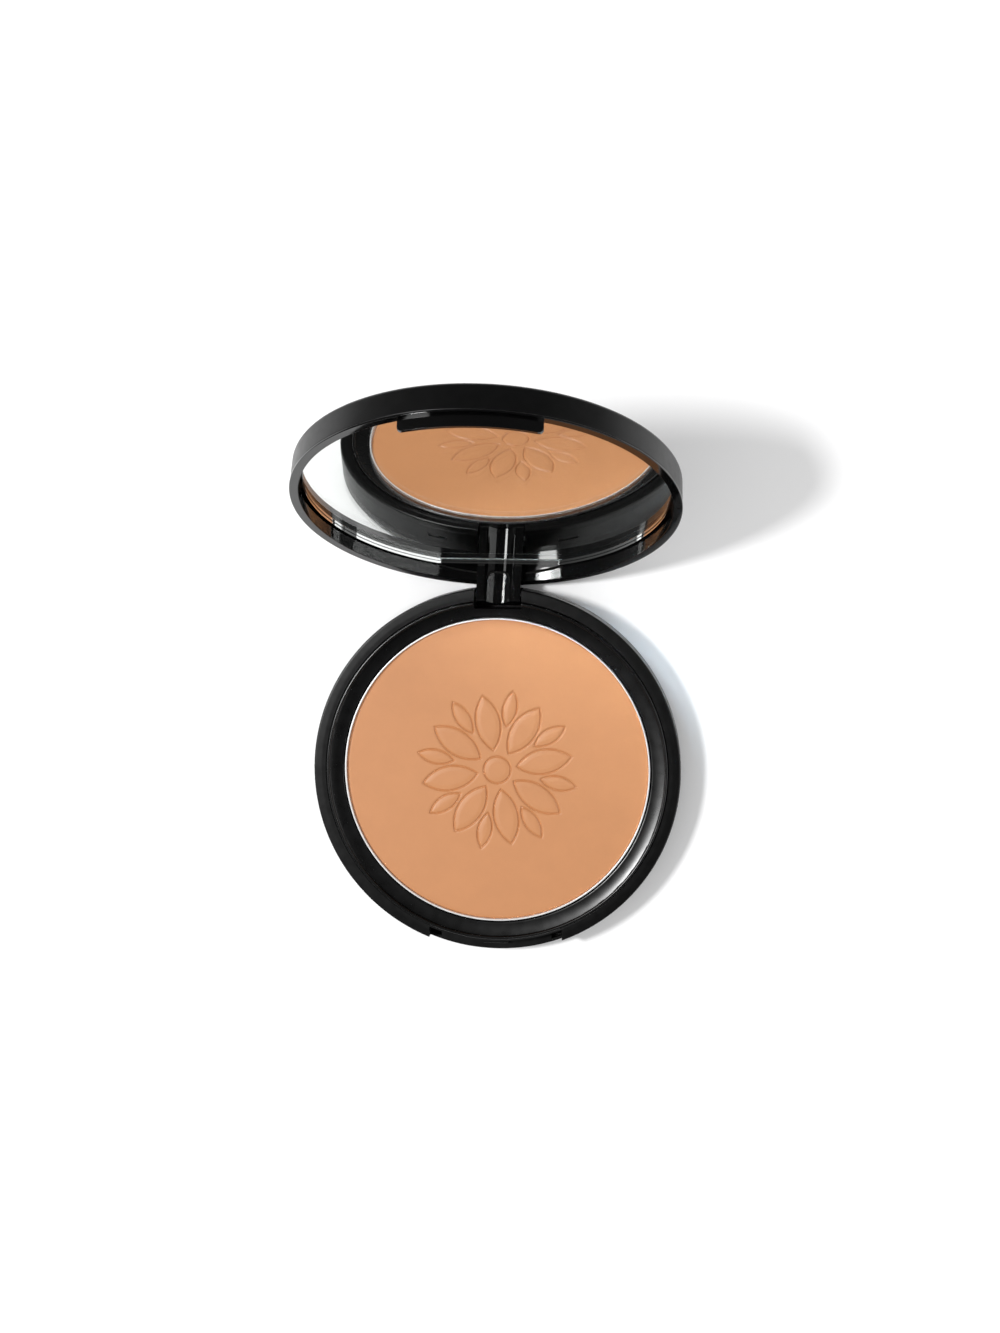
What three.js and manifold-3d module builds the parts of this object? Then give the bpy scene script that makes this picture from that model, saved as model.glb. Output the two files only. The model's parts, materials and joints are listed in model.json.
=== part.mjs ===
// Round hinged pressed-powder compact, opened for use, with a mirror in its lid.
//
// Millimetres. Every piece is drawn in the frame of the closed compact: origin at the middle of
// the base's underside, +Z up through the powder, +Y towards the hinge. The lid's pieces are then
// swung open about the hinge, and the whole compact is tipped a little, because an opened compact
// stands on the front edge of its base and on the rear edge of its lid.

import * as THREE from "three";
import { mergeVertices } from "three/addons/utils/BufferGeometryUtils.js";
import Module from "manifold-3d";

const wasm = await Module();
wasm.setup();

// ---- driving dimensions -------------------------------------------------------------------

const PAN_RADIUS = 29.5; // a standard 59 mm powder pan
const PAN_RIM_Z = 5.7;
const BASE_RADIUS = 35.4;
const BASE_HEIGHT = 6.5;
const LID_RADIUS = 35.6; // at its outer face; its skirt is a little wider
const LID_TOP_Z = 12.4; // outer face of the closed lid
const OPEN_ANGLE = 120.5; // degrees, where the lid rests on its stop
const HINGE_Y = 33.8;
const HINGE_Z = 3.7;

// ---- details worked out from them ---------------------------------------------------------

const GAP = 0.2; // between pieces that lie on each other
const SEGMENTS = 64; // facets round the compact
const SMALL_SEGMENTS = 24; // facets round a pin or gutter

const base = {
  floorTop: 1.4,
  innerRadius: 33.0,
  footRadius: 35.2,
  footRound: 0.8,
  topRound: 0.2,
  labelRadius: 26.5,
  labelRecess: 0.5,
};
const tray = {
  innerRadius: PAN_RADIUS + 0.3,
  outerRadius: base.innerRadius - GAP,
  topZ: 7.0,
  dishRadius: 32.35,
  dishZ: 6.03,
  lipZ: PAN_RIM_Z - 0.14,
};
const glue = { radius: 14, z: base.floorTop + GAP, thickness: 0.3 };
const pan = { z: glue.z + glue.thickness + GAP, wall: 0.3 };
const cake = { radius: PAN_RADIUS - pan.wall - 0.1, topZ: PAN_RIM_Z - 0.42, edgeRound: 0.15 };
const label = { z: 0.12, thickness: 0.2 };

const rim = { z: BASE_HEIGHT + 0.1, innerRadius: 34.15, outerRadius: 35.75, thickness: 0.4 };
const frameWall = { innerRadius: 34.05, outerRadius: 34.95, topZ: 10.95 };
const mirror = { radius: 33.65, frontZ: 9.15, thickness: 1.6, chordY: 31.7 };
const tape = { radius: 28, z: 10.87, thickness: 0.2 };
const shell = {
  innerRadius: 35.15,
  undersideZ: 11.2,
  skirtZ: rim.z + rim.thickness + GAP,
  skirtRadius: 35.85,
  round: 0.8,
};
const chordPlate = { y: mirror.chordY + 0.25, z: mirror.frontZ + 0.3, radius: frameWall.outerRadius - 0.3 };

const arm = { halfWidth: 4.25, innerY: 31.95, bottomZ: 1.85, innerRound: 0.8, outerRound: 0.6 };
const gutter = { radius: 2.4, y: 31.55 };
const recess = { halfWidth: 4.55, y: 31.3, z: 1.0 };
const relief = { halfWidth: 7.4, y: 34.2, depth: 0.3 }; // lets the lid's rim swing past the base's rear edge
const pin = { radius: 0.5, boreRadius: 0.6, innerX: 2.55, length: 4.0 };
const snapWindow = { innerX: 10.85, outerX: 14.6, lowZ: 2.95, highZ: 3.65, hookRadius: 34.7 };

const tab = { halfWidth: 12.7, innerRadius: 34.3, outerRadius: 35.0, bottomZ: 4.1, round: 1.0 };
const notch = { halfWidth: 12.9, innerRadius: 33.35, z: 3.9 };
const pocket = { innerX: 10.7, outerRadius: 34.8, z: 2.6 };
const rib = { halfWidth: 2.33, innerY: -33.15, outerY: -33.95, lowZ: 4.7, highZ: 5.3 };

const BEYOND = 3; // how far a cutter reaches past what it cuts

// ---- materials ----------------------------------------------------------------------------

function material(color, roughness, metalness = 0) {
  return new THREE.MeshStandardMaterial({ color, roughness, metalness });
}

const finishes = {
  satinBlack: () => material(0x17181a, 0.5),
  glossBlack: () => material(0x0b0b0c, 0.15),
  aluminium: () => material(0xd9d9db, 0.3, 1),
  powder: () => material(0xe3ad80, 0.95),
  glass: () => material(0xe8efec, 0.02, 0.9),
  steel: () => material(0xb9bbbf, 0.3, 1),
  adhesive: () => material(0xd8d5cc, 0.8),
  paper: () => material(0xeeeeea, 0.7),
};

// ---- solids -------------------------------------------------------------------------------

// A closed (radius, height) outline turned about the Z axis.
function turned(outline, segments = SEGMENTS) {
  const points = outline.map(([radius, height]) => new THREE.Vector2(radius, height));
  if (outline[0][0] > 0) points.push(points[0].clone());
  return new THREE.LatheGeometry(points, segments).rotateX(Math.PI / 2);
}

function disc(radius, z, thickness) {
  return turned([[0, z], [radius, z], [radius, z + thickness], [0, z + thickness]]);
}

function ring(innerRadius, outerRadius, lowZ, highZ) {
  return turned([[innerRadius, lowZ], [outerRadius, lowZ], [outerRadius, highZ], [innerRadius, highZ]]);
}

function block([x0, y0, z0], [x1, y1, z1]) {
  const box = new THREE.BoxGeometry(x1 - x0, y1 - y0, z1 - z0);
  return box.translate((x0 + x1) / 2, (y0 + y1) / 2, (z0 + z1) / 2);
}

// A rod along X, from x0 to x1, on the hinge axis.
function hingeRod(radius, x0, x1) {
  const rod = new THREE.CylinderGeometry(radius, radius, x1 - x0, SMALL_SEGMENTS).rotateZ(Math.PI / 2);
  return rod.translate((x0 + x1) / 2, HINGE_Y, HINGE_Z);
}

// The range of X between two distances from the middle, on the left (side -1) or right (side 1).
function sideRange(side, near, far) {
  return side > 0 ? [near, far] : [-far, -near];
}

// Points of a quarter turn or less, angles in degrees.
function arc(centreA, centreB, radius, from, to, steps = 3) {
  return Array.from({ length: steps + 1 }, (_, i) => {
    const angle = THREE.MathUtils.degToRad(from + ((to - from) * i) / steps);
    return [centreA + radius * Math.cos(angle), centreB + radius * Math.sin(angle)];
  });
}

function toManifold(geometry) {
  const bare = geometry.clone();
  bare.deleteAttribute("normal");
  bare.deleteAttribute("uv");
  const merged = mergeVertices(bare, 1e-5);
  const index = merged.index.array;
  const kept = [];
  for (let i = 0; i < index.length; i += 3) {
    const [a, b, c] = index.slice(i, i + 3);
    if (a !== b && b !== c && c !== a) kept.push(a, b, c);
  }
  const mesh = new wasm.Mesh({
    numProp: 3,
    vertProperties: new Float32Array(merged.attributes.position.array),
    triVerts: new Uint32Array(kept),
  });
  return new wasm.Manifold(mesh);
}

function toGeometry(solid) {
  const { vertProperties, triVerts } = solid.getMesh();
  const geometry = new THREE.BufferGeometry();
  geometry.setAttribute("position", new THREE.BufferAttribute(vertProperties, 3));
  geometry.setIndex(new THREE.BufferAttribute(triVerts, 1));
  return geometry;
}

function piece(name, shape, finish) {
  const geometry = shape.isBufferGeometry ? shape : toGeometry(shape);
  const mesh = new THREE.Mesh(geometry, finish());
  mesh.name = name;
  return mesh;
}

// ---- base ---------------------------------------------------------------------------------

function baseShell() {
  const { footRadius, footRound, topRound, innerRadius, floorTop, labelRadius, labelRecess } = base;
  const tub = toManifold(turned([
    [0, labelRecess],
    [labelRadius + GAP, labelRecess],
    [labelRadius + GAP, 0],
    ...arc(footRadius - footRound, footRound, footRound, -90, 0),
    [BASE_RADIUS, BASE_HEIGHT - topRound],
    [BASE_RADIUS - topRound, BASE_HEIGHT],
    [innerRadius, BASE_HEIGHT],
    [innerRadius, floorTop],
    [0, floorTop],
  ]));
  const front = -BASE_RADIUS - BEYOND;
  const top = BASE_HEIGHT + BEYOND;
  const notchCut = toManifold(ring(notch.innerRadius, BASE_RADIUS + BEYOND, notch.z, top))
    .intersect(toManifold(block([-notch.halfWidth, front, 0], [notch.halfWidth, 0, top])));
  const pocketRing = toManifold(ring(notch.innerRadius, pocket.outerRadius, pocket.z, BASE_HEIGHT));
  let shellSolid = tub.subtract(notchCut);
  for (const side of [-1, 1]) {
    const [x0, x1] = sideRange(side, pocket.innerX, notch.halfWidth);
    const pocketCut = pocketRing.intersect(toManifold(block([x0, front, 0], [x1, 0, top])));
    const bore = sideRange(side, recess.halfWidth - GAP, pin.innerX + pin.length + GAP);
    shellSolid = shellSolid
      .subtract(pocketCut)
      .subtract(snapPiece(side, base.innerRadius - GAP, BASE_RADIUS + BEYOND, 0))
      .subtract(toManifold(hingeRod(pin.boreRadius, ...bore)));
  }
  const rearEdge = block([-relief.halfWidth, relief.y, BASE_HEIGHT - relief.depth], [relief.halfWidth, BASE_RADIUS, top]);
  return shellSolid
    .subtract(hingeRecess())
    .subtract(toManifold(rearEdge))
    .add(toManifold(block([-rib.halfWidth, rib.outerY, rib.lowZ], [rib.halfWidth, rib.innerY, rib.highZ])));
}

// A window through the base's rear wall, or with a margin the tray's hook that snaps into it.
function snapPiece(side, innerRadius, outerRadius, margin) {
  const { innerX, outerX, lowZ, highZ } = snapWindow;
  const [x0, x1] = sideRange(side, innerX + margin, outerX - margin);
  return toManifold(ring(innerRadius, outerRadius, lowZ + margin, highZ - margin))
    .intersect(toManifold(block([x0, 0, 0], [x1, outerRadius, BASE_HEIGHT])));
}

// The slot at the back of the base that the lid's arm swings in.
function hingeRecess() {
  return toManifold(block(
    [-recess.halfWidth, recess.y, recess.z],
    [recess.halfWidth, BASE_RADIUS + BEYOND, BASE_HEIGHT + BEYOND],
  ));
}

// The collar that holds the pan: a dished bezel, below a raised edge, down to the pan's rim.
function baseTray() {
  const { innerRadius, outerRadius, topZ, dishRadius, dishZ, lipZ } = tray;
  const lowZ = base.floorTop + GAP;
  const dish = new THREE.QuadraticBezierCurve(
    new THREE.Vector2(dishRadius, dishZ),
    new THREE.Vector2(innerRadius + 1.4, lipZ + 0.07),
    new THREE.Vector2(innerRadius + 0.15, lipZ),
  );
  const outline = [
    [innerRadius, lowZ],
    [outerRadius, lowZ],
    [outerRadius, topZ - 0.15],
    [outerRadius - 0.15, topZ],
    [dishRadius + 0.15, topZ],
    [dishRadius, topZ - 0.15],
    ...dish.getPoints(4).map((point) => [point.x, point.y]),
    [innerRadius, lipZ - 0.1],
  ];
  let solid = toManifold(turned(outline)).subtract(hingeRecess());
  for (const side of [-1, 1]) {
    solid = solid.add(snapPiece(side, outerRadius - GAP, snapWindow.hookRadius, GAP));
  }
  return solid;
}

function powderPan() {
  const { z, wall } = pan;
  const corner = 0.4;
  return turned([
    [0, z],
    [PAN_RADIUS - corner, z],
    [PAN_RADIUS, z + corner],
    [PAN_RADIUS, PAN_RIM_Z],
    [PAN_RADIUS - wall, PAN_RIM_Z],
    [PAN_RADIUS - wall, z + wall],
    [0, z + wall],
  ]);
}

function powderCake() {
  const { radius, topZ, edgeRound } = cake;
  const lowZ = pan.z + pan.wall + GAP;
  return turned([
    [0, lowZ],
    [radius, lowZ],
    [radius, topZ - edgeRound],
    [radius - edgeRound, topZ],
    [0, topZ],
  ]);
}

function hingePin(side) {
  return hingeRod(pin.radius, ...sideRange(side, pin.innerX, pin.innerX + pin.length));
}

function basePieces() {
  return [
    piece("base_shell", baseShell(), finishes.satinBlack),
    piece("base_tray", baseTray(), finishes.glossBlack),
    piece("pan_glue", disc(glue.radius, glue.z, glue.thickness), finishes.adhesive),
    piece("powder_pan", powderPan(), finishes.aluminium),
    piece("powder_cake", powderCake(), finishes.powder),
    piece("bottom_label", disc(base.labelRadius, label.z, label.thickness), finishes.paper),
    piece("hinge_pin_left", hingePin(-1), finishes.steel),
    piece("hinge_pin_right", hingePin(1), finishes.steel),
  ];
}

// ---- lid, drawn closed --------------------------------------------------------------------

function lidShell() {
  const { innerRadius, undersideZ, skirtZ, skirtRadius, round } = shell;
  return turned([
    [0, undersideZ],
    [innerRadius, undersideZ],
    [innerRadius, skirtZ],
    [skirtRadius, skirtZ],
    ...arc(LID_RADIUS - round, LID_TOP_Z - round, round, 0, 90),
    [0, LID_TOP_Z],
  ]);
}

// The arm's side view, in (Y, Z), run across the arm's width.
function hingeArm() {
  const { halfWidth, innerY, bottomZ, innerRound, outerRound } = arm;
  const sideView = [
    [innerY, frameWall.topZ],
    ...arc(innerY + innerRound, bottomZ + innerRound, innerRound, 180, 270),
    ...arc(frameWall.outerRadius - outerRound, bottomZ + outerRound, outerRound, -90, 0),
    [frameWall.outerRadius + BEYOND, bottomZ + outerRound + BEYOND],
    [frameWall.outerRadius + BEYOND, frameWall.topZ],
  ];
  const outline = new THREE.Shape(sideView.map(([y, z]) => new THREE.Vector2(y, z)));
  const run = new THREE.ExtrudeGeometry(outline, { depth: 2 * halfWidth, bevelEnabled: false });
  const toRow = new THREE.Matrix4().makeBasis(
    new THREE.Vector3(0, 1, 0),
    new THREE.Vector3(0, 0, 1),
    new THREE.Vector3(1, 0, 0),
  );
  run.applyMatrix4(toRow).translate(-halfWidth, 0, 0);
  const gutterHeight = chordPlate.z - bottomZ + BEYOND;
  const gutterCut = new THREE.CylinderGeometry(gutter.radius, gutter.radius, gutterHeight, SMALL_SEGMENTS)
    .rotateX(Math.PI / 2)
    .translate(0, gutter.y, chordPlate.z - gutterHeight / 2);
  let solid = toManifold(run)
    .intersect(toManifold(disc(frameWall.outerRadius, 0, frameWall.topZ)))
    .subtract(toManifold(gutterCut));
  for (const side of [-1, 1]) {
    const bore = sideRange(side, pin.innerX - GAP, halfWidth + GAP);
    solid = solid.subtract(toManifold(hingeRod(pin.boreRadius, ...bore)));
  }
  return solid;
}

// The tongue below the rim that clips over the base's rib, with its lower corners rounded.
function latchTab() {
  const { halfWidth, innerRadius, outerRadius, bottomZ, round } = tab;
  const topZ = rim.z + rim.thickness;
  const frontView = [
    [-halfWidth, topZ],
    ...arc(-halfWidth + round, bottomZ + round, round, 180, 270),
    ...arc(halfWidth - round, bottomZ + round, round, -90, 0),
    [halfWidth, topZ],
  ];
  const outline = new THREE.Shape(frontView.map(([x, z]) => new THREE.Vector2(x, z)));
  const run = new THREE.ExtrudeGeometry(outline, { depth: LID_RADIUS, bevelEnabled: false });
  run.rotateX(Math.PI / 2);
  return toManifold(ring(innerRadius, outerRadius, 0, topZ)).intersect(toManifold(run));
}

// The ring inside the lid: its flat rim, the wall round the mirror, a plate that fills the space
// past the mirror's straight side, the hinge arm and the latch tab.
function lidFrame() {
  const wall = toManifold(turned([
    [rim.innerRadius, rim.z],
    [rim.outerRadius, rim.z],
    [rim.outerRadius, rim.z + rim.thickness],
    [frameWall.outerRadius, rim.z + rim.thickness],
    [frameWall.outerRadius, frameWall.topZ],
    [frameWall.innerRadius, frameWall.topZ],
    [frameWall.innerRadius, mirror.frontZ],
  ]));
  const { y, z, radius } = chordPlate;
  const plate = toManifold(disc(radius, z, frameWall.topZ - z))
    .intersect(toManifold(block([-LID_RADIUS, y, 0], [LID_RADIUS, LID_RADIUS, LID_TOP_Z])));
  return wall.add(plate).add(hingeArm()).add(latchTab());
}

function mirrorGlass() {
  const { radius, frontZ, thickness, chordY } = mirror;
  return toManifold(disc(radius, frontZ, thickness))
    .intersect(toManifold(block([-LID_RADIUS, -LID_RADIUS, 0], [LID_RADIUS, chordY, LID_TOP_Z])));
}

function lidPieces() {
  return [
    piece("lid_shell", lidShell(), finishes.satinBlack),
    piece("lid_frame", lidFrame(), finishes.glossBlack),
    piece("mirror_glass", mirrorGlass(), finishes.glass),
    piece("mirror_tape", disc(tape.radius, tape.z, tape.thickness), finishes.adhesive),
  ];
}

// ---- assembly -----------------------------------------------------------------------------

// The lid swung open about the hinge.
function openLid() {
  const hinge = new THREE.Group();
  hinge.position.set(0, HINGE_Y, HINGE_Z);
  hinge.rotation.x = -THREE.MathUtils.degToRad(OPEN_ANGLE);
  const lid = new THREE.Group();
  lid.position.copy(hinge.position).negate();
  lid.add(...lidPieces());
  hinge.add(lid);
  return hinge;
}

// The angle that tips the compact onto the lid's rear edge: both edges it stands on have the same
// rounding, so it is the slope of the line through the centres of their roundings.
function standingTilt() {
  const angle = THREE.MathUtils.degToRad(OPEN_ANGLE);
  const y = LID_RADIUS - shell.round - HINGE_Y;
  const z = LID_TOP_Z - shell.round - HINGE_Z;
  const rearY = HINGE_Y + y * Math.cos(angle) + z * Math.sin(angle);
  const rearZ = HINGE_Z - y * Math.sin(angle) + z * Math.cos(angle);
  const frontY = -(base.footRadius - base.footRound);
  return Math.atan2(base.footRound - rearZ, rearY - frontY);
}

const compact = new THREE.Group();
compact.add(...basePieces(), openLid());
compact.rotation.x = standingTilt();

// The row's origin is the middle of the opened compact's footprint, on the table.
const extent = new THREE.Box3().setFromObject(compact, true);
compact.position.set(0, -(extent.min.y + extent.max.y) / 2, -extent.min.z);

const assembly = new THREE.Group();
assembly.add(compact);

export default assembly;
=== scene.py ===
"""The looks of the powder compact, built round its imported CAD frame."""

import json
import math

import bmesh
import bpy
import numpy as np
from mathutils import Matrix, Vector


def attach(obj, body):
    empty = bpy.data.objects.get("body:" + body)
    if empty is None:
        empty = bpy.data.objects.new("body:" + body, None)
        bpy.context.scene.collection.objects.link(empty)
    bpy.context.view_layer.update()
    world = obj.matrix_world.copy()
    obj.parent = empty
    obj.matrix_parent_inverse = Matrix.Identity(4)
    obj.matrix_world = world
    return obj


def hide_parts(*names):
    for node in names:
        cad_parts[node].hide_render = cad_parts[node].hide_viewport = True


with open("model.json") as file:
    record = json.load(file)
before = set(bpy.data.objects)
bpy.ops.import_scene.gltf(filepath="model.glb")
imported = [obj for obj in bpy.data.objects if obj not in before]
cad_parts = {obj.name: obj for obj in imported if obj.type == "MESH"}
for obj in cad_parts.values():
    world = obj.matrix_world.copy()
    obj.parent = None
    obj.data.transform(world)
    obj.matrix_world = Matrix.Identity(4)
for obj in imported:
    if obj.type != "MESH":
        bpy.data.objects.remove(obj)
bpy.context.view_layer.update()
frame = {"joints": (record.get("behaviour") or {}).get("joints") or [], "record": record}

# ---- sizes in millimetres, in the frame of the closed compact ---------------------------------
# Origin at the middle of the base's underside, +Z up through the powder, +Y towards the hinge.

# _R is a radius, _W half a width, _Y a place towards the hinge and _Z a height.
HINGE_Y, HINGE_Z = 33.8, 3.7
PIN_R, BORE_R, PIN_X0, PIN_X1 = 0.5, 0.6, 2.55, 6.55

# the base: its tub, the tray in it, the pan and the powder
BASE_R, BASE_FOOT_R, BASE_H = 35.4, 35.2, 6.5
BASE_INNER_R, BASE_FLOOR, BASE_CROWN_R = 33.0, 1.4, 33.9
UNDER_R, UNDER_Z = 26.7, 0.5  # the recess for the label
LABEL_R, LABEL_Z0, LABEL_Z1 = 26.5, 0.12, 0.32
TRAY_R, TRAY_IN, TRAY_LOW, TRAY_TOP, DISH_R, DISH_Z = 32.95, 29.8, 1.6, 7.0, 32.35, 6.03
PAN_R, PAN_RIM, PAN_LOW, PAN_WALL = 29.5, 5.7, 2.1, 0.3
CAKE_R, CAKE_TOP, CAKE_LOW = 29.17, 5.05, 2.6
GLUE_R, GLUE_Z0, GLUE_Z1 = 14, 1.6, 1.9

# the base's thumb notch with its catch rib and pockets, the hinge recess, the windows for the tray's hooks
NOTCH_W, NOTCH_R, NOTCH_Z = 12.9, 33.35, 3.9
POCKET_X0, POCKET_R, POCKET_Z = 10.7, 34.8, 2.6
RIB_W, RIB_IN, RIB_OUT, RIB_Z0, RIB_Z1 = 2.33, 33.1, 33.95, 4.7, 5.3
RECESS_W, RECESS_Y, RECESS_Z = 4.55, 31.3, 1.0
WINDOW_X0, WINDOW_X1, WINDOW_Z0, WINDOW_Z1 = 10.85, 14.6, 2.95, 3.65
HOOK_R, HOOK_GAP = 35.0, 0.08

# the lid: its shell, and the frame with wall, rim, arm and latch tab
LID_R, LID_TOP, LID_UNDER, SKIRT_Z, SKIRT_IN, SKIRT_R = 35.6, 12.4, 11.2, 7.04, 35.15, 35.72
LID_ROUND = 0.8
RIM_Z, RIM_IN, RIM_OUT, RIM_THICK = 6.6, 34.1, 35.8, 0.4
WALL_IN, WALL_OUT, WALL_TOP = 34.05, 34.95, 10.95
PLATE_Y, PLATE_Z = 31.95, 9.45
ARM_W, ARM_Y, ARM_LOW, GUTTER_R, GUTTER_Y = 4.25, 31.95, 1.85, 3.3, 30.3
TAB_W, TAB_IN, TAB_OUT, TAB_LOW, TAB_ROUND = 12.7, 34.3, 35.0, 4.1, 1.0
EJECTOR_R, EJECTOR_DEEP, EJECTOR_PLACES = 0.42, 0.1, ((35.0, 0.8), (17.0, 30.6))

# the mirror, its silvering and the tape behind it
MIRROR_R, MIRROR_FRONT, MIRROR_THICK, CHORD_Y, SEAM = 33.65, 9.15, 1.6, 31.7, 0.28
SILVER_INSET, SILVER_GAP, SILVER_THICK = 0.15, 0.01, 0.04
TAPE_R, TAPE_Z0, TAPE_Z1 = 28, 10.87, 11.07

# the rosette pressed into the powder: leaves round a small disc, each drawn by one fine groove
LEAVES, LEAF_FROM, LEAF_TO, LEAF_HALF = 8, 3.9, 14.6, 2.35
BUD_FROM, BUD_TO, BUD_HALF = 8.6, 15.6, 1.35
BUTTON_R = 2.6
GROOVE_HALF, GROOVE_DEPTH, PILLOW = 0.28, 0.30, 0.07

STEPS = 256  # facets round the compact
CAKE_CELLS = 280  # quads across the powder
FAR = 60.0  # past everything

# ---- light and camera, in metres and degrees ---------------------------------------------------

KEY = (169, 57.5)  # azimuth and elevation
DIFFUSE_LOW, DIFFUSE_TOP = 1.32, 0.5  # the sky that dull surfaces see, from horizon to zenith
SKY_LOW, SKY_SIDE, SKY_UPPER, SKY_TOP = 0.20, 0.08, 0.04, 0.03  # the sky that reflections see
GLOW, GLOW_HALF, GLOW_TINT = 24.0, 17, (1.0, 1.45, 1.9)  # the key as the mirror passes it on
# painted shade: the floor's colour darkens from 0.2 m to 0.5 m out, down to 0.12 of the paper's, for light
# falling off far from the lamps
FLOOR_HALF, FLOOR_PAINTED_SHADE_FROM, FLOOR_PAINTED_SHADE_TO, FLOOR_FAR_PAINTED_SHADE = 4, 0.2, 0.5, 0.12
CAMERA_PLACE, CAMERA_TURN = (0.052504, 0.060503, 0.57801), (-5.9327, 5.2630, 0.5330)
CAMERA_LENS, SENSOR = 81.25, 36


# ---- places -----------------------------------------------------------------------------------

hinge = frame["joints"][0]
underside = next(m for m in frame["record"]["mounts"] if m["name"] == "rest_face")
tilt = math.atan2(underside["axis"][1], -underside["axis"][2])
open_angle = math.radians(hinge["range_deg"][1])


def placed(turn):
    """Closed-compact millimetres to row-frame metres, turned about the hinge."""
    return (
        Matrix.Translation(hinge["pos_m"])
        @ Matrix.Rotation(turn, 4, "X")
        @ Matrix.Scale(0.001, 4)
        @ Matrix.Translation((0, -HINGE_Y, -HINGE_Z))
    )


PLACE = {"base": placed(tilt), "lid": placed(tilt - open_angle)}


# ---- mesh making ------------------------------------------------------------------------------

def mesh_from(verts, faces):
    mesh = bpy.data.meshes.new("m")
    mesh.from_pydata([tuple(v) for v in verts], [], faces)
    bm = bmesh.new()
    bm.from_mesh(mesh)
    bmesh.ops.remove_doubles(bm, verts=bm.verts, dist=1e-5)
    bmesh.ops.recalc_face_normals(bm, faces=bm.faces)
    bm.to_mesh(mesh)
    bm.free()
    return mesh


def rounded(corners, steps=6):
    """A closed outline of (a, b, radius) corners, each rounded to its radius."""
    out = []
    for i, (a, b, radius) in enumerate(corners):
        p = Vector((a, b))
        if radius == 0:
            out.append(p)
            continue
        before = (Vector(corners[i - 1][:2]) - p).normalized()
        after = (Vector(corners[(i + 1) % len(corners)][:2]) - p).normalized()
        half = before.angle(after) / 2
        centre = p + (before + after).normalized() * radius / math.sin(half)
        start = p + before * radius / math.tan(half) - centre
        end = p + after * radius / math.tan(half) - centre
        sweep = start.angle_signed(end)
        for k in range(steps + 1):
            out.append(centre + Matrix.Rotation(-sweep * k / steps, 2) @ start)
    return [tuple(p) for p in out]


def turned(outline, steps=STEPS):
    """A (radius, height) outline turned about Z. It closes on itself or runs from axis to axis."""
    verts, rings, faces = [], [], []
    for r, z in outline:
        if r < 1e-6:
            rings.append([len(verts)] * steps)
            verts.append((0, 0, z))
            continue
        rings.append(range(len(verts), len(verts) + steps))
        for k in range(steps):
            angle = 2 * math.pi * k / steps
            verts.append((r * math.cos(angle), r * math.sin(angle), z))
    pairs = list(zip(rings, rings[1:]))
    if outline[0][0] > 1e-6:
        pairs.append((rings[-1], rings[0]))
    for low, high in pairs:
        for k in range(steps):
            n = (k + 1) % steps
            corners = (low[k], low[n], high[n], high[k])
            face = list(dict.fromkeys(corners))
            if len(face) > 2:
                faces.append(face)
    return mesh_from(verts, faces)


def ring(r0, r1, z0, z1):
    return turned([(r0, z0), (r1, z0), (r1, z1), (r0, z1)])


def disc(r, z0, z1, edge=0.0):
    return turned(rounded([(0, z0, 0), (r, z0, edge), (r, z1, edge), (0, z1, 0)], 4))


def prism(outline, axis, low, high):
    """A flat outline run along an axis: (y, z) along x, (x, z) along y or (x, y) along z."""
    def point(a, b, c):
        return {"x": (c, a, b), "y": (a, c, b), "z": (a, b, c)}[axis]
    n = len(outline)
    verts = [point(a, b, c) for c in (low, high) for a, b in outline]
    faces = [list(range(n)), list(range(n, 2 * n))]
    faces += [[k, (k + 1) % n, n + (k + 1) % n, n + k] for k in range(n)]
    return mesh_from(verts, faces)


def block(x0, x1, y0, y1, z0, z1):
    return prism([(x0, y0), (x1, y0), (x1, y1), (x0, y1)], "z", z0, z1)


def rod(radius, x0, x1, steps=48):
    """A rod along the hinge axis."""
    angles = [2 * math.pi * k / steps for k in range(steps)]
    outline = [(HINGE_Y + radius * math.cos(a), HINGE_Z + radius * math.sin(a)) for a in angles]
    return prism(outline, "x", x0, x1)


def as_object(mesh, name="work"):
    obj = bpy.data.objects.new(name, mesh)
    bpy.context.scene.collection.objects.link(obj)
    return obj


def applied(obj):
    """The object's mesh with its modifiers applied; the object is removed."""
    depsgraph = bpy.context.evaluated_depsgraph_get()
    mesh = bpy.data.meshes.new_from_object(obj.evaluated_get(depsgraph), depsgraph=depsgraph)
    bpy.data.objects.remove(obj)
    return mesh


def combined(operation, mesh, *others):
    """mesh less ("DIFFERENCE"), with ("UNION") or within ("INTERSECT") the other meshes."""
    for other in others:
        obj, tool = as_object(mesh), as_object(other, "tool")
        modifier = obj.modifiers.new("boolean", "BOOLEAN")
        modifier.operation = operation
        modifier.solver = "EXACT"
        modifier.object = tool
        bpy.context.view_layer.update()
        mesh = applied(obj)
        bpy.data.objects.remove(tool)
    return mesh


def side_range(side, near, far):
    return (near, far) if side > 0 else (-far, -near)


def with_edges(mesh, width, angle=40, segments=3):
    """Breaks the mesh's sharp edges with a small round of that width."""
    obj = as_object(mesh)
    modifier = obj.modifiers.new("edges", "BEVEL")
    modifier.width = width
    modifier.segments = segments
    modifier.limit_method = "ANGLE"
    modifier.angle_limit = math.radians(angle)
    modifier.use_clamp_overlap = True
    bpy.context.view_layer.update()
    return applied(obj)


def piece(name, mesh, body, material, slot, *nodes):
    """Places a finished mesh on its body, in place of its CAD nodes."""
    mesh.transform(PLACE[body])
    mesh.polygons.foreach_set("use_smooth", [True] * len(mesh.polygons))
    mesh.set_sharp_from_angle(angle=math.radians(32))
    mesh.materials.clear()
    mesh.materials.append(material)
    obj = as_object(mesh, name)
    weights = obj.modifiers.new("normals", "WEIGHTED_NORMAL")
    weights.keep_sharp = True
    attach(obj, body)
    if nodes:
        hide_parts(*nodes)
    return obj


# ---- materials --------------------------------------------------------------------------------

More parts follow.
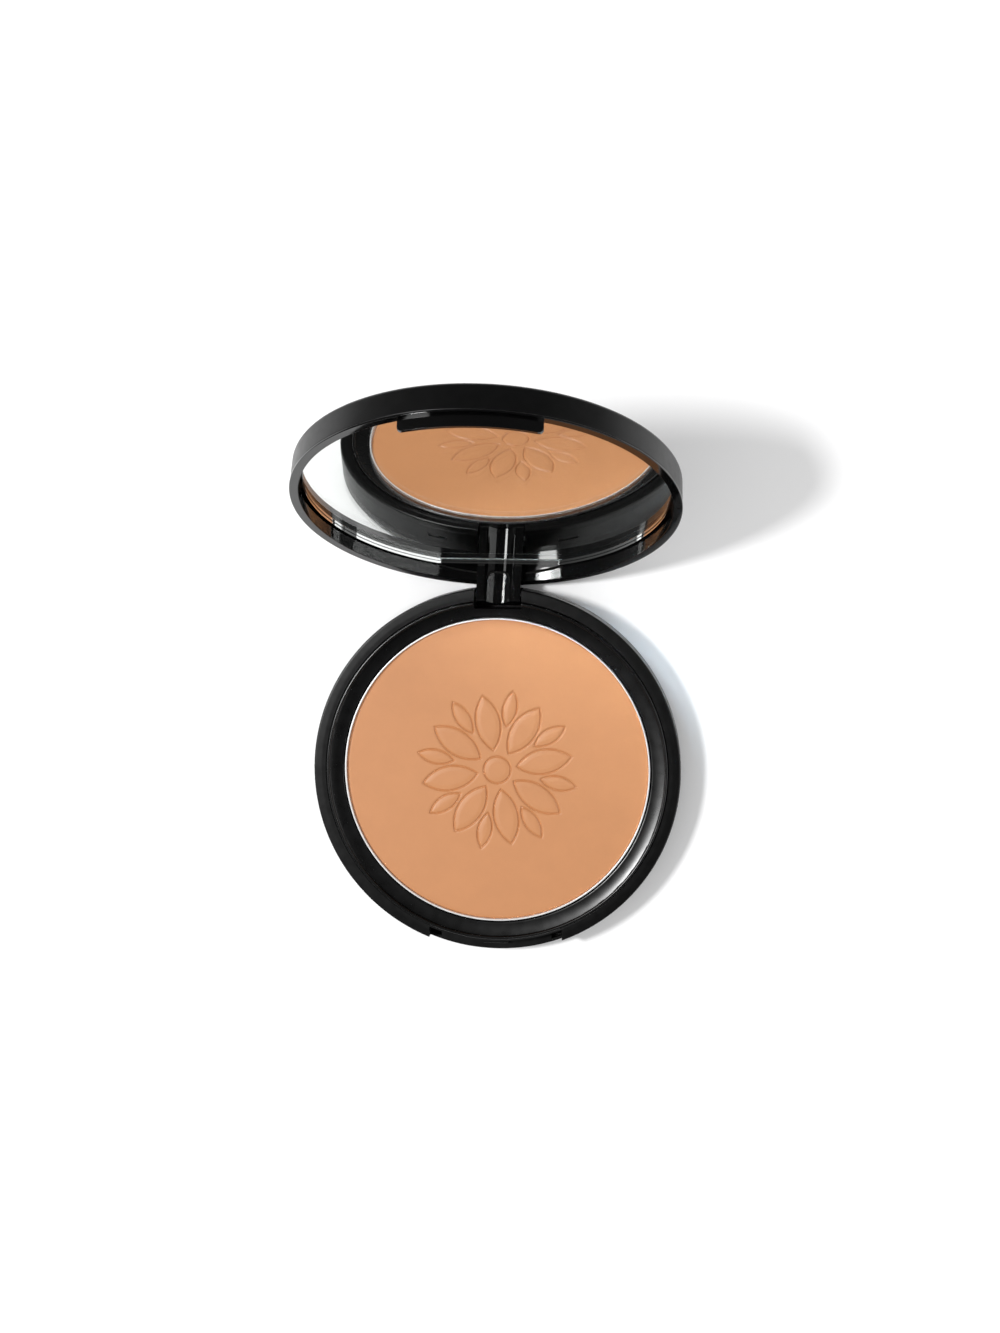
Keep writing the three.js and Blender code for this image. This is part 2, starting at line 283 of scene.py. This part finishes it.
class Nodes:
    """A material's node tree, with one Principled shader."""

    def __init__(self, name):
        self.material = bpy.data.materials.new(name)
        self.material.use_nodes = True
        self.tree = self.material.node_tree
        self.shader = self.tree.nodes["Principled BSDF"]
        self.place = self.add("ShaderNodeTexCoord").outputs["Object"]

    def add(self, kind, **settings):
        node = self.tree.nodes.new(kind)
        for key, value in settings.items():
            setattr(node, key, value)
        return node

    def link(self, source, target):
        self.tree.links.new(source, target)

    def set(self, **values):
        for key, value in values.items():
            self.shader.inputs[key.replace("_", " ")].default_value = value

    def noise(self, size_mm, detail=2.0, roughness=0.5):
        node = self.add("ShaderNodeTexNoise")
        node.inputs["Scale"].default_value = 1000 / size_mm
        node.inputs["Detail"].default_value = detail
        node.inputs["Roughness"].default_value = roughness
        self.link(self.place, node.inputs["Vector"])
        return node.outputs["Fac"]

    def spread(self, value, low, high):
        """Maps a 0.3 to 0.7 noise onto low to high."""
        node = self.add("ShaderNodeMapRange")
        node.inputs["From Min"].default_value = 0.3
        node.inputs["From Max"].default_value = 0.7
        node.inputs["To Min"].default_value = low
        node.inputs["To Max"].default_value = high
        self.link(value, node.inputs["Value"])
        return node.outputs["Result"]

    def colours(self, value, low, high):
        """Maps a 0.3 to 0.7 noise onto two colours."""
        node = self.add("ShaderNodeValToRGB")
        node.color_ramp.elements[0].position = 0.3
        node.color_ramp.elements[0].color = (*low, 1)
        node.color_ramp.elements[1].position = 0.7
        node.color_ramp.elements[1].color = (*high, 1)
        self.link(value, node.inputs["Fac"])
        return node.outputs["Color"]

    def paint(self, value, low, high):
        self.link(self.colours(value, low, high), self.shader.inputs["Base Color"])

    def roughen(self, value, low, high):
        self.link(self.spread(value, low, high), self.shader.inputs["Roughness"])

    def bump(self, value, height_mm, strength=1.0, under=None):
        node = self.add("ShaderNodeBump")
        node.inputs["Strength"].default_value = strength
        node.inputs["Distance"].default_value = height_mm / 1000
        self.link(value, node.inputs["Height"])
        if under is not None:
            self.link(under, node.inputs["Normal"])
        self.link(node.outputs["Normal"], self.shader.inputs["Normal"])
        return node.outputs["Normal"]


BLACK = (0.0010, 0.0010, 0.0011), (0.0018, 0.0018, 0.0019)  # the darkest and lightest of the moulded black


def satin_black():
    n = Nodes("satin_black")
    n.paint(n.noise(9, 3), *BLACK)
    n.roughen(n.noise(1.7, 4), 0.31, 0.37)
    n.bump(n.noise(0.16, 2), 0.004, 0.5)
    n.set(IOR=1.5, Specular_IOR_Level=0.36)
    return n.material


def gloss_black():
    n = Nodes("gloss_black")
    n.paint(n.noise(12, 2), *BLACK)
    n.roughen(n.noise(2.5, 4), 0.04, 0.07)
    n.bump(n.noise(1.8, 3), 0.001, 0.4)
    n.set(IOR=1.56)
    return n.material


def tray_black():
    n = Nodes("tray_black")
    n.paint(n.noise(10, 2), *BLACK)
    n.roughen(n.noise(2.1, 4), 0.26, 0.31)
    n.bump(n.noise(0.22, 2), 0.003, 0.4)
    n.set(IOR=1.5)
    return n.material


def bright_pan():
    n = Nodes("bright_pan")
    n.paint(n.noise(1.3, 4), (0.80, 0.80, 0.80), (0.93, 0.92, 0.91))
    n.roughen(n.noise(0.5, 4), 0.32, 0.42)
    n.bump(n.noise(0.3, 3), 0.003, 0.5)
    n.set(Metallic=0.5)
    return n.material


def pressed_powder():
    n = Nodes("pressed_powder")
    mottled = n.add("ShaderNodeMath", operation="ADD")
    n.link(n.noise(5, 4, 0.6), mottled.inputs[0])
    grains = n.add("ShaderNodeMath", operation="MULTIPLY_ADD")
    n.link(n.noise(0.12, 2), grains.inputs[0])
    grains.inputs[1].default_value = 0.35
    grains.inputs[2].default_value = -0.175
    n.link(grains.outputs[0], mottled.inputs[1])
    n.paint(mottled.outputs[0], (0.490, 0.212, 0.0835), (0.514, 0.2235, 0.0885))
    n.roughen(n.noise(0.4, 3), 0.42, 0.50)
    soft = n.bump(n.noise(0.9, 4, 0.6), 0.004, 0.5)
    n.bump(n.noise(0.13, 3, 0.6), 0.006, 0.5, soft)
    n.set(Specular_IOR_Level=0.5)
    return n.material


def clear_glass():
    n = Nodes("clear_glass")
    n.set(Base_Color=(0.985, 0.995, 0.99, 1), IOR=1.52, Transmission_Weight=1.0)
    n.roughen(n.noise(6, 2), 0.0, 0.012)
    return n.material


def ground_edge():
    n = Nodes("ground_edge")
    n.paint(n.noise(0.5, 4, 0.7), (0.62, 0.63, 0.58), (0.88, 0.89, 0.84))
    n.roughen(n.noise(0.3, 4), 0.45, 0.7)
    n.bump(n.noise(0.2, 4), 0.03, 0.8)
    return n.material


def silvering():
    n = Nodes("silvering")
    n.paint(n.noise(14, 2), (0.93, 0.935, 0.93), (0.95, 0.955, 0.95))
    n.roughen(n.noise(8, 2), 0.0, 0.01)
    n.set(Metallic=1.0)
    return n.material


def pin_steel():
    n = Nodes("pin_steel")
    n.paint(n.noise(0.4, 3), (0.5, 0.5, 0.52), (0.62, 0.62, 0.64))
    n.roughen(n.noise(0.2, 4), 0.25, 0.4)
    n.bump(n.noise(0.1, 3), 0.004, 0.5)
    n.set(Metallic=1.0)
    return n.material


def adhesive():
    n = Nodes("adhesive")
    n.paint(n.noise(1.5, 4), (0.66, 0.63, 0.55), (0.78, 0.76, 0.70))
    n.roughen(n.noise(0.6, 4), 0.6, 0.85)
    n.bump(n.noise(0.5, 4), 0.05, 0.6)
    return n.material


def label_film():
    n = Nodes("label_film")
    n.paint(n.noise(0.35, 5, 0.7), (0.66, 0.66, 0.64), (0.72, 0.72, 0.70))
    n.roughen(n.noise(0.8, 3), 0.42, 0.55)
    n.bump(n.noise(0.25, 4), 0.006, 0.5)
    return n.material


# ---- base -------------------------------------------------------------------------------------

def hinge_recess():
    return block(-RECESS_W, RECESS_W, RECESS_Y, FAR, RECESS_Z, FAR)


def catch_rib():
    outline = rounded([
        (-RIB_IN, RIB_Z0, 0), (-RIB_OUT, RIB_Z0, 0.2), (-RIB_OUT, RIB_Z1, 0.2), (-RIB_IN, RIB_Z1, 0),
    ], 4)
    return prism(outline, "x", -RIB_W, RIB_W)


def base_shell():
    tub = turned(rounded([
        (0, UNDER_Z, 0), (UNDER_R, UNDER_Z, 0.15), (UNDER_R, 0, 0.15), (BASE_FOOT_R, 0, 0.8),
        (BASE_R, BASE_H - 0.08, 0.35), (BASE_CROWN_R, BASE_H, 6),
        (BASE_INNER_R, BASE_H, 0.15), (BASE_INNER_R, BASE_FLOOR, 0.3), (0, BASE_FLOOR, 0),
    ]))
    front = block(-NOTCH_W, NOTCH_W, -FAR, 0, -1, FAR)
    notch = combined("INTERSECT", ring(NOTCH_R, FAR, NOTCH_Z, FAR), front)
    cutters = [notch, hinge_recess()]
    for side in (-1, 1):
        x0, x1 = side_range(side, POCKET_X0, NOTCH_W)
        band = ring(NOTCH_R, POCKET_R, POCKET_Z, BASE_H)
        pocket = combined("INTERSECT", band, block(x0, x1, -FAR, 0, 0, FAR))
        x0, x1 = side_range(side, WINDOW_X0, WINDOW_X1)
        band = ring(BASE_INNER_R - 0.2, FAR, WINDOW_Z0, WINDOW_Z1)
        window = combined("INTERSECT", band, block(x0, x1, 0, FAR, 0, FAR))
        bore = rod(BORE_R, *side_range(side, RECESS_W - 0.2, PIN_X1 + 0.2))
        cutters += [pocket, window, bore]
    return combined("UNION", combined("DIFFERENCE", tub, *cutters), catch_rib())


def base_tray():
    """The collar, dished down to the pan's rim, with its two snap hooks."""
    lip = PAN_RIM - 0.14
    start, bend, end = Vector((DISH_R, DISH_Z)), Vector((31.2, lip + 0.066)), Vector((29.95, lip))
    dish = [((1 - t) ** 2 * start + 2 * t * (1 - t) * bend + t * t * end) for t in np.linspace(0, 1, 17)]
    outline = rounded([
        (TRAY_IN, TRAY_LOW, 0.1), (TRAY_R, TRAY_LOW, 0.1), (TRAY_R, TRAY_TOP, 0.28),
        (DISH_R, TRAY_TOP, 0.25), (DISH_R, DISH_Z, 0),
    ])
    outline = outline[:-1] + [tuple(p) for p in dish] + [(TRAY_IN + 0.03, lip - 0.04), (TRAY_IN, lip - 0.12)]
    tray = combined("DIFFERENCE", turned(outline), hinge_recess())
    for side in (-1, 1):
        x0, x1 = side_range(side, WINDOW_X0 + 0.1, WINDOW_X1 - 0.1)
        band = ring(TRAY_R - 0.2, HOOK_R, WINDOW_Z0 + HOOK_GAP, WINDOW_Z1 - HOOK_GAP)
        hook = combined("INTERSECT", band, block(x0, x1, 0, FAR, 0, FAR))
        tray = combined("UNION", tray, hook)
    return tray


def powder_pan():
    inner = PAN_R - PAN_WALL
    return turned(rounded([
        (0, PAN_LOW, 0), (PAN_R, PAN_LOW, 0.5), (PAN_R, PAN_RIM, 0.07), (inner, PAN_RIM, 0.07),
        (inner, PAN_LOW + PAN_WALL, 0.3), (0, PAN_LOW + PAN_WALL, 0),
    ], 5))


def leaf_distance(x, y, start, end, half):
    """Signed distance to a leaf of two arcs lying along +X, negative inside."""
    length = end - start
    radius = (length * length / 4 + half * half) / (2 * half)
    return np.hypot(x - (start + end) / 2, np.abs(y) + radius - half) - radius


def rosette_height(x, y):
    rho, phi = np.hypot(x, y), np.arctan2(y, x)
    sector = 2 * math.pi / LEAVES

    def folded(offset):
        angle = (phi - offset + sector / 2) % sector - sector / 2
        return rho * np.cos(angle), rho * np.sin(angle)

    leaf = leaf_distance(*folded(sector / 4), LEAF_FROM, LEAF_TO, LEAF_HALF)
    bud = leaf_distance(*folded(sector * 3 / 4), BUD_FROM, BUD_TO, BUD_HALF)
    nearest = np.minimum(np.minimum(leaf, bud), rho - BUTTON_R)
    along = np.clip(np.abs(nearest) / GROOVE_HALF, 0, 1)
    groove = -GROOVE_DEPTH * (0.5 + 0.5 * np.cos(math.pi * along))
    inside = np.clip((-nearest - GROOVE_HALF) / 0.8, 0, 1)
    return groove + PILLOW * inside * inside * (3 - 2 * inside)


def powder_cake():
    """A disc of quads, finest in its middle, with the rosette pressed in and a softly rounded edge."""
    count = CAKE_CELLS
    s = np.linspace(-1, 1, count + 1)
    s = 0.6 * s + 0.4 * s**3
    u, v = np.meshgrid(s, s)
    top_r = CAKE_R - 0.28
    x = top_r * u * np.sqrt(1 - v * v / 2)
    y = top_r * v * np.sqrt(1 - u * u / 2)
    z = CAKE_TOP - PILLOW + rosette_height(x, y)
    verts = np.stack([x, y, z], -1).reshape(-1, 3).tolist()
    row = count + 1
    faces = [
        [i * row + j, i * row + j + 1, (i + 1) * row + j + 1, (i + 1) * row + j]
        for i in range(count) for j in range(count)
    ]
    loop = [j for j in range(count)]
    loop += [i * row + count for i in range(count)]
    loop += [count * row + j for j in range(count, 0, -1)]
    loop += [i * row for i in range(count, 0, -1)]
    edge = [
        (CAKE_R - 0.14, -0.06), (CAKE_R - 0.05, -0.15), (CAKE_R, -0.3),
        (CAKE_R, CAKE_LOW - CAKE_TOP + PILLOW),
    ]
    for r, drop in edge:
        start = len(verts)
        for index in loop[: 4 * count]:
            px, py, _ = verts[index]
            scale = r / math.hypot(px, py)
            verts.append([px * scale, py * scale, CAKE_TOP - PILLOW + drop])
        new = list(range(start, start + len(loop)))
        n = len(loop)
        faces += [[loop[k], loop[(k + 1) % n], new[(k + 1) % n], new[k]] for k in range(n)]
        loop = new
    centre = len(verts)
    verts.append([0, 0, CAKE_LOW])
    faces += [[loop[k], loop[(k + 1) % len(loop)], centre] for k in range(len(loop))]
    return mesh_from(verts, faces)


def hinge_pin(side):
    x0, x1 = side_range(side, PIN_X0, PIN_X1)
    return with_edges(rod(PIN_R, x0, x1), 0.1, 60, 2)


# ---- lid --------------------------------------------------------------------------------------

def lid_shell():
    return turned(rounded([
        (0, LID_UNDER, 0), (SKIRT_IN, LID_UNDER, 0.2), (SKIRT_IN, SKIRT_Z, 0.1), (SKIRT_R, SKIRT_Z, 0.15),
        (LID_R, LID_TOP - LID_ROUND, 0), (LID_R, LID_TOP, LID_ROUND), (0, LID_TOP, 0),
    ], 8))


def hinge_arm():
    """The arm, with its gutter, and its long edges and lower end rounded."""
    side = rounded([
        (ARM_Y, WALL_TOP, 0), (ARM_Y, ARM_LOW, 0.8), (WALL_OUT, ARM_LOW, 0.6), (WALL_OUT, WALL_TOP, 0),
    ], 8)
    arm = prism(side, "x", -ARM_W, ARM_W)
    arm = combined("INTERSECT", arm, disc(WALL_OUT, 0, WALL_TOP))
    angles = np.linspace(0, 2 * math.pi, 64, endpoint=False)
    circle = [(GUTTER_R * math.cos(a), GUTTER_Y + GUTTER_R * math.sin(a)) for a in angles]
    arm = combined("DIFFERENCE", arm, prism(circle, "z", 0, PLATE_Z))
    arm = with_edges(arm, 0.18, 50, 4)
    for side in (-1, 1):
        arm = combined("DIFFERENCE", arm, rod(BORE_R, *side_range(side, PIN_X0 - 0.2, ARM_W + 0.2)))
    return arm


def latch_tab():
    top = RIM_Z + 0.2
    face = rounded([
        (-TAB_W, top, 0), (-TAB_W, TAB_LOW, TAB_ROUND), (TAB_W, TAB_LOW, TAB_ROUND), (TAB_W, top, 0),
    ], 8)
    tab = combined("INTERSECT", ring(TAB_IN, TAB_OUT, 0, top), prism(face, "y", -FAR, 0))
    return with_edges(tab, 0.15, 50, 3)


def ejector_marks():
    marks = []
    low, deep = RIM_Z - 1, RIM_Z + EJECTOR_DEEP
    for x, y in EJECTOR_PLACES:
        mark = turned([(0, low), (EJECTOR_R, low), (EJECTOR_R, deep), (0, deep)], 32)
        mark.transform(Matrix.Translation((x, y, 0)))
        marks.append(mark)
    return marks


def lid_frame():
    wall = turned(rounded([
        (RIM_IN, RIM_Z, 0.12), (RIM_OUT, RIM_Z, 0.12), (RIM_OUT, RIM_Z + RIM_THICK, 0.08),
        (WALL_OUT, RIM_Z + RIM_THICK, 0), (WALL_OUT, WALL_TOP, 0.1), (WALL_IN, WALL_TOP, 0.1),
        (WALL_IN, MIRROR_FRONT, 0),
    ]))
    plate = combined(
        "INTERSECT", disc(WALL_OUT - 0.3, PLATE_Z, WALL_TOP), block(-FAR, FAR, PLATE_Y, FAR, 0, FAR)
    )
    solid = combined("UNION", wall, plate, hinge_arm(), latch_tab())
    return combined("DIFFERENCE", solid, *ejector_marks())


def mirror_glass():
    """A disc cut straight on the hinge side, where its front edge is ground off."""
    disc_of_glass = disc(MIRROR_R, MIRROR_FRONT, MIRROR_FRONT + MIRROR_THICK, 0.08)
    kept = [
        (-FAR, MIRROR_FRONT - 1), (CHORD_Y - SEAM - 1, MIRROR_FRONT - 1), (CHORD_Y, MIRROR_FRONT + SEAM),
        (CHORD_Y, FAR), (-FAR, FAR),
    ]
    return combined("INTERSECT", disc_of_glass, prism(kept, "x", -FAR, FAR))


def silver_layer():
    low = MIRROR_FRONT + MIRROR_THICK + SILVER_GAP
    layer = disc(MIRROR_R - SILVER_INSET, low, low + SILVER_THICK)
    return combined("INTERSECT", layer, block(-FAR, FAR, -FAR, CHORD_Y - SILVER_INSET, 0, FAR))


# ---- all pieces -------------------------------------------------------------------------------

def build():
    satin, gloss, film = satin_black(), gloss_black(), adhesive()
    shell, tray = with_edges(base_shell(), 0.06, 50, 2), with_edges(base_tray(), 0.05, 50, 2)
    piece("shell_of_base", shell, "base", satin, "satin_black", "base_shell")
    piece("collar_of_base", tray, "base", tray_black(), "gloss_black", "base_tray")
    piece("pan", powder_pan(), "base", bright_pan(), "pan_metal", "powder_pan")
    piece("powder", powder_cake(), "base", pressed_powder(), "powder", "powder_cake")
    piece("glue_spot", disc(GLUE_R, GLUE_Z0, GLUE_Z1, 0.12), "base", film, "adhesive", "pan_glue")
    label = disc(LABEL_R, LABEL_Z0, LABEL_Z1, 0.06)
    piece("blank_label", label, "base", label_film(), "label", "bottom_label")
    steel = pin_steel()
    piece("pin_left", hinge_pin(-1), "base", steel, "pin_steel", "hinge_pin_left")
    piece("pin_right", hinge_pin(1), "base", steel, "pin_steel", "hinge_pin_right")
    piece("shell_of_lid", lid_shell(), "lid", satin, "satin_black", "lid_shell")
    piece("frame_of_lid", lid_frame(), "lid", gloss, "gloss_black", "lid_frame")
    piece("glass", mirror_glass(), "lid", clear_glass(), "mirror", "mirror_glass")
    piece("silver", silver_layer(), "lid", silvering(), "mirror")
    piece("foam_tape", disc(TAPE_R, TAPE_Z0, TAPE_Z1, 0.05), "lid", film, "adhesive", "mirror_tape")


def paint_glass_edge():
    """The glass is dull only where its straight edge is ground."""
    glass = bpy.data.objects["glass"]
    glass.data.materials.append(ground_edge())
    seam = (PLACE["lid"].to_3x3() @ Vector((0, 1, -1))).normalized()
    for polygon in glass.data.polygons:
        if polygon.normal.dot(seam) > 0.98:
            polygon.material_index = 1


# ---- floor, light and camera ------------------------------------------------------------------

def pale_floor():
    n = Nodes("pale_floor")
    paper = n.colours(n.noise(60, 3), (0.92, 0.92, 0.922), (0.94, 0.94, 0.942))
    # painted shade: the paper colour is multiplied down with distance from the middle, as if less light
    # reached the far floor
    reach = n.add("ShaderNodeVectorMath", operation="LENGTH")
    n.link(n.place, reach.inputs[0])
    painted_falloff = n.add("ShaderNodeMapRange", interpolation_type="SMOOTHSTEP")
    n.link(reach.outputs["Value"], painted_falloff.inputs["Value"])
    painted_falloff.inputs["From Min"].default_value = FLOOR_PAINTED_SHADE_FROM
    painted_falloff.inputs["From Max"].default_value = FLOOR_PAINTED_SHADE_TO
    painted_falloff.inputs["To Min"].default_value = 1.0
    painted_falloff.inputs["To Max"].default_value = FLOOR_FAR_PAINTED_SHADE
    shade = n.add("ShaderNodeMix", data_type="RGBA", blend_type="MULTIPLY")
    shade.inputs["Factor"].default_value = 1.0
    n.link(paper, shade.inputs[6])
    n.link(painted_falloff.outputs["Result"], shade.inputs[7])
    n.link(shade.outputs[2], n.shader.inputs["Base Color"])
    n.set(Roughness=0.9, Specular_IOR_Level=0.1)
    return n.material


def towards(azimuth, elevation):
    turn, rise = math.radians(azimuth), math.radians(elevation)
    return Vector((math.cos(rise) * math.cos(turn), math.cos(rise) * math.sin(turn), math.sin(rise)))


def softbox(name, azimuth, elevation, distance, width, power, diffuse=True):
    """A round light aimed at the compact; without diffuse it only shows in reflections."""
    light = bpy.data.lights.new(name, "AREA")
    light.shape = "ELLIPSE"
    light.size = width
    light.size_y = width
    light.energy = power
    away = towards(azimuth, elevation)
    obj = bpy.data.objects.new(name, light)
    obj.location = away * distance + Vector((0, 0.015, 0.005))
    obj.rotation_euler = away.to_track_quat("Z", "Y").to_euler()
    obj.visible_diffuse = diffuse
    bpy.context.scene.collection.objects.link(obj)


def sky():
    """Even light for dull surfaces; bright low down and dark overhead where it is reflected.

    The mirror throws the key light on the powder. That path is too narrow to trace, so light that
    reaches a dull surface by way of the glass sees a wider, weaker key.
    """
    world = bpy.data.worlds.new("studio")
    world.use_nodes = True
    world.cycles.sampling_method = "NONE"
    tree = world.node_tree

    def math_node(operation, a, b, c=0.0):
        node = tree.nodes.new("ShaderNodeMath")
        node.operation = operation
        for socket, value in zip(node.inputs, (a, b, c)):
            if isinstance(value, float):
                socket.default_value = value
            else:
                tree.links.new(value, socket)
        return node.outputs[0]

    direction = tree.nodes.new("ShaderNodeTexCoord").outputs["Generated"]
    path = tree.nodes.new("ShaderNodeLightPath").outputs
    height = tree.nodes.new("ShaderNodeSeparateXYZ")
    tree.links.new(direction, height.inputs[0])

    reflected = tree.nodes.new("ShaderNodeValToRGB")
    tree.links.new(height.outputs["Z"], reflected.inputs["Fac"])
    ramp = reflected.color_ramp.elements
    for position, level in ((0.35, SKY_SIDE), (0.75, SKY_UPPER)):
        ramp.new(position).color = (level, level, level, 1)
    ramp[0].color = (SKY_LOW, SKY_LOW, SKY_LOW, 1)
    ramp[-1].color = (SKY_TOP, SKY_TOP, SKY_TOP, 1)

    towards_key = tree.nodes.new("ShaderNodeVectorMath")
    towards_key.operation = "DOT_PRODUCT"
    tree.links.new(direction, towards_key.inputs[0])
    towards_key.inputs[1].default_value = towards(*KEY)
    glow = tree.nodes.new("ShaderNodeMapRange")
    glow.interpolation_type = "SMOOTHSTEP"
    tree.links.new(towards_key.outputs["Value"], glow.inputs["Value"])
    glow.inputs["From Min"].default_value = math.cos(math.radians(GLOW_HALF))
    glow.inputs["To Max"].default_value = GLOW

    dull = math_node("GREATER_THAN", path["Diffuse Depth"], 0.5)
    even = math_node("MULTIPLY_ADD", height.outputs["Z"], DIFFUSE_TOP - DIFFUSE_LOW, DIFFUSE_LOW)
    seen = math_node("MULTIPLY", reflected.outputs["Color"], math_node("SUBTRACT", 1.0, dull))
    through_glass = math_node("MULTIPLY", glow.outputs["Result"], path["Is Transmission Ray"])
    by_mirror = math_node("MULTIPLY", through_glass, dull)
    tinted = tree.nodes.new("ShaderNodeVectorMath")
    tinted.operation = "MULTIPLY_ADD"
    tree.links.new(by_mirror, tinted.inputs[0])
    tinted.inputs[1].default_value = GLOW_TINT
    tree.links.new(math_node("MULTIPLY_ADD", dull, even, seen), tinted.inputs[2])
    tree.links.new(tinted.outputs[0], tree.nodes["Background"].inputs["Color"])
    bpy.context.scene.world = world
    bpy.context.scene.cycles.blur_glossy = 0


def studio():
    corners = [(x * FLOOR_HALF, y * FLOOR_HALF, 0) for x, y in ((-1, -1), (1, -1), (1, 1), (-1, 1))]
    floor = as_object(mesh_from(corners, [[0, 1, 2, 3]]), "floor")
    floor.data.materials.append(pale_floor())
    sky()

    softbox("key", *KEY, 1.1, 0.185, 8.8)
    softbox("key_surround", 176, 57, 1.15, 0.30, 3.2, diffuse=False)
    softbox("right_card", -8, 33, 1.2, 1.3, 5.2, diffuse=False)

    camera = bpy.data.cameras.new("camera")
    camera.lens = CAMERA_LENS
    camera.sensor_width = SENSOR
    camera.clip_start = 0.01
    camera.clip_end = 50
    obj = bpy.data.objects.new("camera", camera)
    obj.location = CAMERA_PLACE
    obj.rotation_euler = [math.radians(angle) for angle in CAMERA_TURN]
    bpy.context.scene.collection.objects.link(obj)
    bpy.context.scene.camera = obj
    bpy.context.scene.view_settings.view_transform = "Standard"


build()
paint_glass_edge()
studio()
